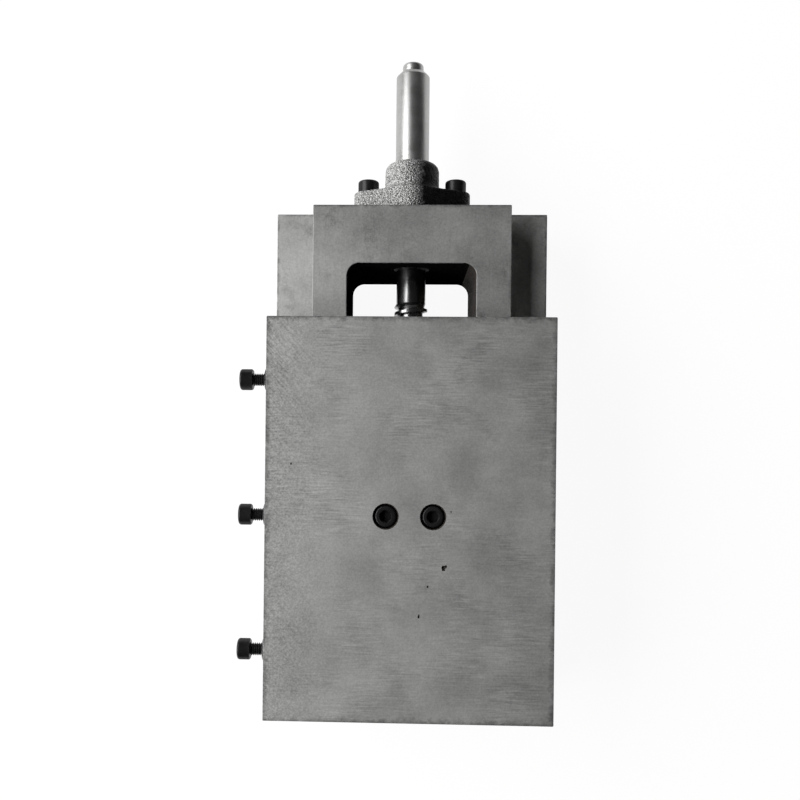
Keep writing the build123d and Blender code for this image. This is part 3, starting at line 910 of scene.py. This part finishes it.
class SLIDE_OT_gib(bpy.types.Operator):
    """Gib with the flat spots that its screws press on"""

    bl_idname = "slide_table.gib"
    bl_label = "Gib"

    def execute(self, context):
        body = sizes("slide_bodies")
        spot = sizes("slide_fasteners").thread / 2 + 0.3 * MM
        play = level_width(body.way_clearance)
        thick = level_width(body.gib_thickness)
        foot = rail_half_width(GIB_LOW.z) + play
        root = rail_half_width(GIB_HIGH.z) + play
        outline = [
            (-foot, GIB_LOW.z), (-root, GIB_HIGH.z), (-root - thick, GIB_HIGH.z), (-foot - thick, GIB_LOW.z)]
        piece = bar("gib", outline, GIB_LOW.y, GIB_HIGH.y)
        for name in GIB_SCREWS:
            _, y, z = middle_of(name)
            drill(piece, spot, (TABLE_LOW.x, y, z), (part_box(name)[1].x, y, z), 32)
        break_edges(piece, body.edge_break / 2)
        keep_faces_flat(piece)
        settle(piece, "gib_ground", "gib", "gib_steel", "gib")
        return {"FINISHED"}


# Bracket
def tangent_outline(circles, steps=10):
    """Outline round circles given as (x, y, radius), in order anticlockwise, with tangents between them."""
    points = []
    directions = []
    for index, (x, y, radius) in enumerate(circles):
        next_x, next_y, next_radius = circles[(index + 1) % len(circles)]
        distance = math.hypot(next_x - x, next_y - y)
        along = math.atan2(next_y - y, next_x - x)
        directions.append(along - math.acos((radius - next_radius) / distance))
    for index, (x, y, radius) in enumerate(circles):
        start = directions[index - 1]
        sweep = (directions[index] - start) % FULL_TURN
        for step in range(steps + 1):
            angle = start + sweep * step / steps
            points.append((x + radius * math.cos(angle), y + radius * math.sin(angle)))
    return points


class SLIDE_OT_shaft_bracket(bpy.types.Operator):
    """Cast bracket: diamond flange and round boss with a rough skin, its seats and bores machined"""

    bl_idname = "slide_table.shaft_bracket"
    bl_label = "Shaft bracket"

    def execute(self, context):
        screw = sizes("slide_screw")
        fastener = sizes("slide_fasteners")
        tip_radius = 7 * MM
        brow_radius = 9 * MM
        reach = BRACKET_HIGH.x - tip_radius
        rise = BRACKET_HIGH.z - SCREW_LINE - brow_radius
        outline = tangent_outline([
            (reach, 0, tip_radius), (0, rise, brow_radius), (-reach, 0, tip_radius), (0, -rise, brow_radius)])
        piece = prism("bracket", [(x, y, 0) for x, y in outline], (0, 0, screw.flange))
        boss = screw.boss / 2
        height = BRACKET_HIGH.y - BRACKET_LOW.y
        fillet = 3 * MM
        foot = [(0, MM), (boss + fillet, MM), (boss + fillet, screw.flange)]
        foot += [
            (boss + fillet - fillet * y, screw.flange + fillet - fillet * x) for x, y in quarter_arc(4)]
        crown = rounded(boss, height, 4 * MM, 6)
        combine(piece, turn("boss", foot + crown + [(0, height)], 64), "UNION")
        modify(piece, "REMESH", mode="VOXEL", voxel_size=0.45 * MM)
        modify(piece, "SMOOTH", factor=0.5, iterations=16)
        clouds = bpy.data.textures.new("Cast unevenness", "CLOUDS")
        clouds.noise_scale = 1.6 * MM
        clouds.noise_depth = 3
        modify(piece, "DISPLACE", texture=clouds, texture_coords="LOCAL", strength=0.28 * MM, mid_level=0.62)
        smooth_by_angle(piece, 60)

        # The seat on the end wall is cut flat by a wide cutter
        wide = 60 * MM
        flat_cut = 0.15 * MM
        drill(piece, wide, (0, 0, -5 * MM), (0, 0, flat_cut), 16)
        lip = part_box("bracket_bush")[1].y - BRACKET_LOW.y
        drill(piece, half_width("bracket_bush") + SEAT_PLAY, (0, 0, -PAST), (0, 0, lip))
        drill(piece, screw.journal / 2 + 0.1 * MM, (0, 0, lip - PAST), (0, 0, height + PAST))
        for x in (-reach, reach):
            drill(piece, fastener.clearance_hole / 2, (x, 0, -PAST), (x, 0, height), 32)
            drill(piece, fastener.head / 2 + 0.1 * MM, (x, 0, screw.flange), (x, 0, height), 48)
        put(piece, ALONG_Y, (0, BRACKET_LOW.y, SCREW_LINE))
        settle(piece, "shaft_bracket_cast", "shaft_bracket", "rough_cast_iron", "cast")
        return {"FINISHED"}


# Lead screw
def trapezoid(crest, root, pitch):
    """One turn of a 30 degree trapezoidal thread as (radius, height) points."""
    flank = (crest - root) * math.tan(math.radians(15))
    crest_flat = 0.366 * pitch
    root_flat = pitch - crest_flat - 2 * flank
    start = root_flat + flank
    end = start + crest_flat
    rounding = 0.12 * MM
    return [
        (root, 0), (root, root_flat), (crest - rounding, start), (crest, start + rounding),
        (crest, end - rounding), (crest - rounding, end), (root, pitch)]


class SLIDE_OT_lead_screw(bpy.types.Operator):
    """Lead screw turned from one bar: tail journal, trapezoidal thread, collar and drive shaft"""

    bl_idname = "slide_table.lead_screw"
    bl_label = "Lead screw"

    def execute(self, context):
        screw = sizes("slide_screw")
        steps = screw.turn_steps
        crest = screw.crest / 2
        root = screw.root / 2
        neck = screw.neck / 2
        journal = screw.journal / 2
        shaft = screw.shaft / 2
        tip = screw.tip / 2
        tail = screw.tail_journal / 2
        start = screw.thread_start
        end = screw.thread_end
        bevel = 1.5 * MM

        def outer(height):
            if height <= end:
                return root
            return min(crest, crest - bevel + height - end, neck + (start - height) * (crest - neck) / bevel)

        def inner(height):
            return max(root, neck - (start - height) * (neck - root) / screw.pitch)

        profile = trapezoid(crest, root, screw.pitch)
        helix = thread("screw", profile, screw.pitch, end, start, steps, outer, inner)

        chamfer = 0.5 * MM
        collar = half_width("lead_screw")
        collar_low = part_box("inner_shaft_washer")[1].y
        collar_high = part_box("outer_shaft_washer")[0].y
        boss_face = BRACKET_HIGH.y
        tip_end = SCREW_HIGH.y
        shoulder = tip_end - 4.3 * MM
        drive_path = [
            (neck, start), (neck, POCKET_FLOOR), (journal, POCKET_FLOOR), (journal, collar_low),
            (collar - chamfer, collar_low), (collar, collar_low + chamfer),
            (collar, collar_high - chamfer), (collar - chamfer, collar_high),
            (journal, collar_high), (journal, boss_face - 0.3 * MM), (journal - 0.3 * MM, boss_face),
            (shaft, boss_face), (shaft, shoulder - 2.4 * MM), (shaft - 0.12 * MM, shoulder - 2.1 * MM),
            (tip + 1.0 * MM, shoulder - 0.1 * MM), (tip + 0.85 * MM, shoulder),
            (tip, shoulder + 0.05 * MM)]
        drive_path += rounded(tip, tip_end, 1.6 * MM, 5) + [(0, tip_end)]
        run_out = end - 3 * MM
        tail_path = [
            (root, end), (root, run_out), (tail - chamfer, run_out), (tail, run_out - chamfer),
            (tail, SCREW_LOW.y + chamfer), (tail - chamfer, SCREW_LOW.y), (0, SCREW_LOW.y)]
        piece = join([helix, turn("drive end", drive_path, steps), turn("tail end", tail_path, steps)])
        smooth_by_angle(piece)
        put(piece, ALONG_Y, (0, 0, SCREW_LINE))
        settle(piece, "lead_screw_threaded", "lead_screw", "bright_steel", "shaft", "oiled")
        # The thread and neck in the window get the darker oiled steel: oil, with painted shade
        paint_by_place(piece, 1, lambda centre, normal: centre.y < POCKET_FLOOR)
        return {"FINISHED"}


# Fasteners
def cap_screw(length):
    """Socket head cap screw about Z: its seat at zero, a knurled head above and the thread below."""
    fastener = sizes("slide_fasteners")
    head = fastener.head / 2
    height = fastener.head_height
    step_angle = FULL_TURN / fastener.knurl_steps
    knurl_low = 0.55 * MM
    knurl_high = height - 1.25 * MM
    inset = head - fastener.knurl_depth
    path = [(0, 0), (head - 0.45 * MM, 0), (head - 0.12 * MM, 0.3 * MM), (inset, knurl_low)]
    path += [(inset, knurl_high)] + rounded(head, height, 1.0 * MM, 5) + [(0, height)]
    piece = turn("cap screw", path, fastener.knurl_steps)
    set_mode("EDIT")

    def on_ridge(vertex):
        in_band = knurl_low - WELD < vertex.co.z < knurl_high + WELD
        return in_band and round(math.atan2(vertex.co.y, vertex.co.x) / step_angle) % 2 == 0

    pick(piece, "VERT", on_ridge)
    grow = head / inset
    bpy.ops.transform.resize(value=(grow, grow, 1), center_override=(0, 0, 0))
    set_mode("OBJECT")

    crest = fastener.thread / 2
    root = crest - fastener.thread_depth
    point = root - 0.25 * MM
    overlap = 0.5 * MM

    def outer(level):
        return root if level >= overlap else min(crest, point + level + length)

    def inner(level):
        return min(root, outer(level))

    pitch = fastener.pitch
    flat = 0.12 * pitch
    profile = [
        (root, 0), (root, flat), (crest, pitch / 2 - flat / 4), (crest, pitch / 2 + flat), (root, pitch)]
    shank = thread("shank", profile, pitch, -length, overlap, 24, outer, inner)
    close_rings()
    combine(piece, shank, "UNION")
    corner = fastener.socket / 2 / math.cos(math.radians(30))
    drill(piece, corner, (0, 0, height - fastener.socket_depth), (0, 0, height + PAST), 6)
    low = height - 0.35 * MM
    high = height + 0.25 * MM
    cone = [(0, low), (corner - 0.32 * MM, low), (corner + 0.28 * MM, high), (0, high)]
    combine(piece, turn("socket mouth", cone, 48), "DIFFERENCE")
    smooth_by_angle(piece, 30)
    return piece


class SLIDE_OT_cap_screws(bpy.types.Operator):
    """The seven socket head cap screws"""

    bl_idname = "slide_table.cap_screws"
    bl_label = "Socket head cap screws"

    def execute(self, context):
        height = sizes("slide_fasteners").head_height
        long_screw = cap_screw(25 * MM)
        short_screw = cap_screw(20 * MM)
        socket_turns = {"nut_screw_left": math.radians(12), "nut_screw_right": math.radians(41)}
        for name in NUT_SCREWS + BRACKET_SCREWS + GIB_SCREWS:
            low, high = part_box(name)
            x, y, z = middle_of(name)
            piece = copy_of(short_screw if name in NUT_SCREWS else long_screw)
            if name in NUT_SCREWS:
                put(piece, (0, 0, socket_turns[name]), (x, y, high.z - height))
            elif name in BRACKET_SCREWS:
                put(piece, ALONG_Y, (x, high.y - height, z))
            else:
                put(piece, TOWARDS_LEFT, (low.x + height, y, z))
            settle(piece, f"{name}_knurled", name, "black_steel", "black")
        bpy.data.objects.remove(long_screw)
        bpy.data.objects.remove(short_screw)
        return {"FINISHED"}


class SLIDE_OT_lock_nuts(bpy.types.Operator):
    """Thin hexagon nuts at the roots of the gib screws"""

    bl_idname = "slide_table.lock_nuts"
    bl_label = "Lock nuts"

    def execute(self, context):
        fastener = sizes("slide_fasteners")
        flats = fastener.nut_flats / 2
        corner = flats / math.cos(math.radians(30))
        drop = (corner - flats) * math.tan(math.radians(30)) + 0.1 * MM
        face = flats - 0.15 * MM
        for number, degrees in enumerate((30, 48, 60), start=1):
            name = f"gib_lock_nut_{number}"
            low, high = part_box(name)
            _, y, z = middle_of(name)
            height = high.x - low.x
            piece = rod(corner, (0, 0, 0), (0, 0, height), 6)
            blank = turn(
                "nut blank",
                [(0, 0), (face, 0), (corner, drop), (corner, height - drop), (face, height), (0, height)], 72)
            combine(piece, blank, "INTERSECT")
            drill(piece, fastener.thread / 2 + BORE_PLAY, (0, 0, -PAST), (0, 0, height + PAST), 48)
            smooth_by_angle(piece, 30)
            put(piece, (0, 0, math.radians(degrees)), (0, 0, 0))
            put(piece, TOWARDS_LEFT, (high.x, y, z))
            settle(piece, f"{name}_hexagon", name, "grey_steel", "nut")
        return {"FINISHED"}


class SLIDE_OT_lead_nut(bpy.types.Operator):
    """Bronze nut that hangs under the table"""

    bl_idname = "slide_table.lead_nut"
    bl_label = "Lead nut"

    def execute(self, context):
        screw = sizes("slide_screw")
        thread_bore = sizes("slide_fasteners").thread / 2 + BORE_PLAY
        piece = block((NUT_LOW + NUT_HIGH) / 2, NUT_HIGH - NUT_LOW)
        crest = screw.crest / 2 + 0.05 * MM
        root = screw.root / 2 + 0.2 * MM
        length = NUT_HIGH.y - NUT_LOW.y + 2 * PAST

        def outer(level):
            return crest if 0 < level < length else root

        profile = trapezoid(crest, root, screw.pitch)
        tap = thread("tap", profile, screw.pitch, 0, length, screw.turn_steps, outer, lambda level: root)
        close_rings()
        put(tap, ALONG_Y, (0, NUT_LOW.y - PAST, SCREW_LINE))
        combine(piece, tap, "DIFFERENCE")
        for name in NUT_SCREWS:
            x, y, _ = middle_of(name)
            drill(piece, thread_bore, (x, y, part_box(name)[0].z - PAST), (x, y, NUT_HIGH.z + PAST), 32)
        make_active(piece)
        set_mode("EDIT")
        weld_and_point_outwards()
        bpy.ops.mesh.fill_holes(sides=0)
        smooth_by_angle(piece, 30)
        settle(piece, "lead_nut_threaded", "lead_nut", "bronze", "bronze")
        return {"FINISHED"}


class SLIDE_OT_bushes(bpy.types.Operator):
    """Bronze bushes of the drive shaft and of the tail journal"""

    bl_idname = "slide_table.bushes"
    bl_label = "Bushes"

    def execute(self, context):
        screw = sizes("slide_screw")
        chamfer = 0.5 * MM
        for name, journal in (("bracket_bush", screw.journal), ("tail_bush", screw.tail_journal)):
            low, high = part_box(name)
            inside = journal / 2 + 0.04 * MM
            outside = half_width(name)
            length = high.y - low.y
            path = [
                (inside, chamfer), (inside + chamfer, 0), (outside - chamfer, 0), (outside, chamfer),
                (outside, length - chamfer), (outside - chamfer, length), (inside + chamfer, length),
                (inside, length - chamfer), (inside, chamfer)]
            piece = turn("bush", path, screw.turn_steps)
            smooth_by_angle(piece)
            put(piece, ALONG_Y, (0, low.y, SCREW_LINE))
            settle(piece, f"{name}_turned", name, "bronze", "bronze")
        return {"FINISHED"}


class SLIDE_OT_bearings(bpy.types.Operator):
    """Finishes of the two thrust bearings, which keep their plain solids"""

    bl_idname = "slide_table.bearings"
    bl_label = "Thrust bearings"

    def execute(self, context):
        for end in ("inner", "outer"):
            for kind in ("housing_washer", "shaft_washer", "bearing_rollers", "roller_cage"):
                node = frame["nodes"][f"{end}_{kind}"]
                node.data.materials.clear()
                node.data.materials.append(MATERIALS["brass" if kind == "roller_cage" else "bearing"])
        return {"FINISHED"}


# Stage
def ray_mask(tree, *kinds):
    """1 for rays of any of these kinds."""
    path = add_node(tree, "LightPath").outputs
    mask = path[f"Is {kinds[0]} Ray"]
    for kind in kinds[1:]:
        mask = arithmetic(tree, "MAXIMUM", mask, path[f"Is {kind} Ray"])
    return mask


def floor_material():
    """Pale floor that camera and metal see as white, with a share of the real shadow; clear from below."""
    material, tree, shader = new_material("Pale floor")
    feed(tree, (0.75, 0.75, 0.75, 1), shader["Base Color"])
    feed(tree, 0.9, shader["Roughness"])
    feed(tree, 0.0, shader["Specular IOR Level"])
    brightness = 1.1
    white_share = 0.85
    glow = add_node(tree, "Emission", None, brightness)
    share = arithmetic(tree, "MULTIPLY", ray_mask(tree, "Camera", "Glossy", "Transmission"), white_share)
    plain = tree.nodes["Principled BSDF"]
    above = add_node(tree, "MixShader", share, plain.outputs[0], glow.outputs[0])
    clear = add_node(tree, "BsdfTransparent")
    below = add_node(tree, "NewGeometry").outputs["Backfacing"]
    sided = add_node(tree, "MixShader", below, above.outputs[0], clear.outputs[0])
    feed(tree, sided.outputs[0], tree.nodes["Material Output"].inputs["Surface"])
    return material


def studio_sky(level):
    """White to the camera; to the metal grey near the horizon and of the given level overhead."""
    world = bpy.data.worlds.new("Studio sky")
    world.use_nodes = True
    tree = world.node_tree
    back = tree.nodes["Background"].inputs
    feed(tree, (1, 1, 1, 1), back["Color"])
    height = coordinates(tree, add_node(tree, "TexCoord").outputs["Generated"])[2]
    horizon = remap(tree, height, 0.02, 0.16, 0.25, 0.0)
    mirrored = arithmetic(tree, "MULTIPLY", ray_mask(tree, "Glossy", "Transmission"), horizon)
    white = arithmetic(tree, "MAXIMUM", ray_mask(tree, "Camera"), mirrored)
    feed(tree, arithmetic(tree, "MULTIPLY_ADD", white, 1.0 - level, level), back["Strength"])
    return world


class SLIDE_OT_stage(bpy.types.Operator):
    """Pale floor, soft box from the left, sky and camera"""

    bl_idname = "slide_table.stage"
    bl_label = "Stage"

    def execute(self, context):
        stage = sizes("slide_stage")
        scene = context.scene
        deselect_all()
        bpy.ops.mesh.primitive_circle_add(
            vertices=96, radius=4.0, fill_type="NGON", location=(0, -0.1, -0.0002))
        floor = context.object
        floor.name = "floor"
        floor.data.materials.append(floor_material())

        middle = Vector((0.0, 0.15, 0.05))
        tilt = math.radians(51)
        distance = 1.4
        lamp = bpy.data.lights.new("soft box", "AREA")
        lamp.shape = "RECTANGLE"
        lamp.size = 0.95
        lamp.size_y = 2.2
        lamp.energy = stage.key_power
        holder = bpy.data.objects.new("soft box", lamp)
        holder.location = middle + distance * Vector((-math.sin(tilt), 0, math.cos(tilt)))
        holder.rotation_euler = (0, -tilt, 0)
        scene.collection.objects.link(holder)

        scene.world = studio_sky(stage.sky)
        camera = bpy.data.objects.new("camera", bpy.data.cameras.new("camera"))
        camera.data.lens = stage.lens
        camera.data.sensor_width = 36
        camera.data.shift_x = stage.shift_x
        camera.data.shift_y = stage.shift_y
        camera.data.clip_start = 0.01
        camera.location = stage.camera_place
        camera.rotation_euler = (0, stage.camera_yaw, stage.camera_roll)
        scene.collection.objects.link(camera)
        scene.camera = camera
        scene.view_settings.view_transform = "Standard"
        return {"FINISHED"}


PIECES = (
    SLIDE_OT_base_casting,
    SLIDE_OT_slide_table,
    SLIDE_OT_gib,
    SLIDE_OT_shaft_bracket,
    SLIDE_OT_lead_screw,
    SLIDE_OT_cap_screws,
    SLIDE_OT_lock_nuts,
    SLIDE_OT_lead_nut,
    SLIDE_OT_bushes,
    SLIDE_OT_bearings,
    SLIDE_OT_stage,
)

SETTINGS = {
    "slide_bodies": BodySizes,
    "slide_screw": ScrewSizes,
    "slide_fasteners": FastenerSizes,
    "slide_finishes": Finishes,
    "slide_stage": StageSettings,
}


class SLIDE_PT_pieces(bpy.types.Panel):
    """Lists the pieces of the slide table"""

    bl_idname = "SLIDE_PT_pieces"
    bl_label = "Slide table"
    bl_space_type = "VIEW_3D"
    bl_region_type = "UI"
    bl_category = "Slide table"

    def draw(self, context):
        for operator in PIECES:
            self.layout.operator(operator.bl_idname)


def register():
    for name, group in SETTINGS.items():
        bpy.utils.register_class(group)
        setattr(bpy.types.Scene, name, PointerProperty(type=group))
    for kind in (*PIECES, SLIDE_PT_pieces):
        bpy.utils.register_class(kind)


def unregister():
    for kind in (SLIDE_PT_pieces, *reversed(PIECES)):
        bpy.utils.unregister_class(kind)
    for name, group in SETTINGS.items():
        delattr(bpy.types.Scene, name)
        bpy.utils.unregister_class(group)


def main():
    register()
    make_materials()
    for operator in PIECES:
        getattr(bpy.ops.slide_table, operator.bl_idname.split(".")[1])()


if __name__ == "__main__":
    main()
